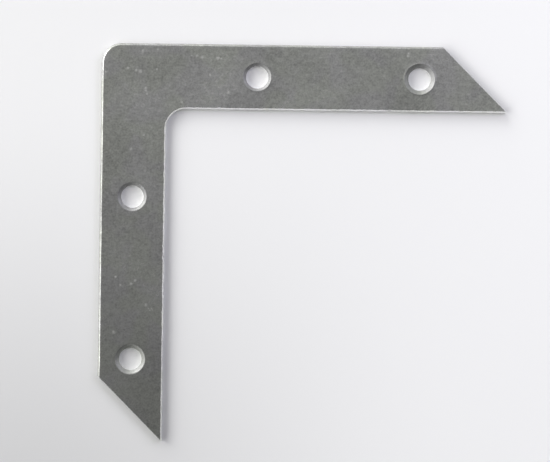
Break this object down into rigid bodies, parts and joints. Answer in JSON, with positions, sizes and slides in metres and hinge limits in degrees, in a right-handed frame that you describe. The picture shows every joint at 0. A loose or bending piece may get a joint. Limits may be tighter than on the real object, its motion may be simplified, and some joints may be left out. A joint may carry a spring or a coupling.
{
  "type": "corner brace",
  "caption": "Flat L-shaped steel corner brace with mitred ends and countersunk screw holes, for reinforcing a square joint.",
  "frame": {"origin": "on the underside, where the centre lines of the two arms cross, 8 mm in from each outer edge", "axes": "+X along one arm towards its point, -Y along the other arm towards its point, +Z out of the countersunk upper face"},
  "size_m": [0.1, 0.098, 0.0015],
  "materials": {
    "zinc_steel": "dull zinc plate, lightly handled"
  },
  "bodies": {
    "root": {"corner_brace": "zinc_steel"}
  },
  "joints": []
}
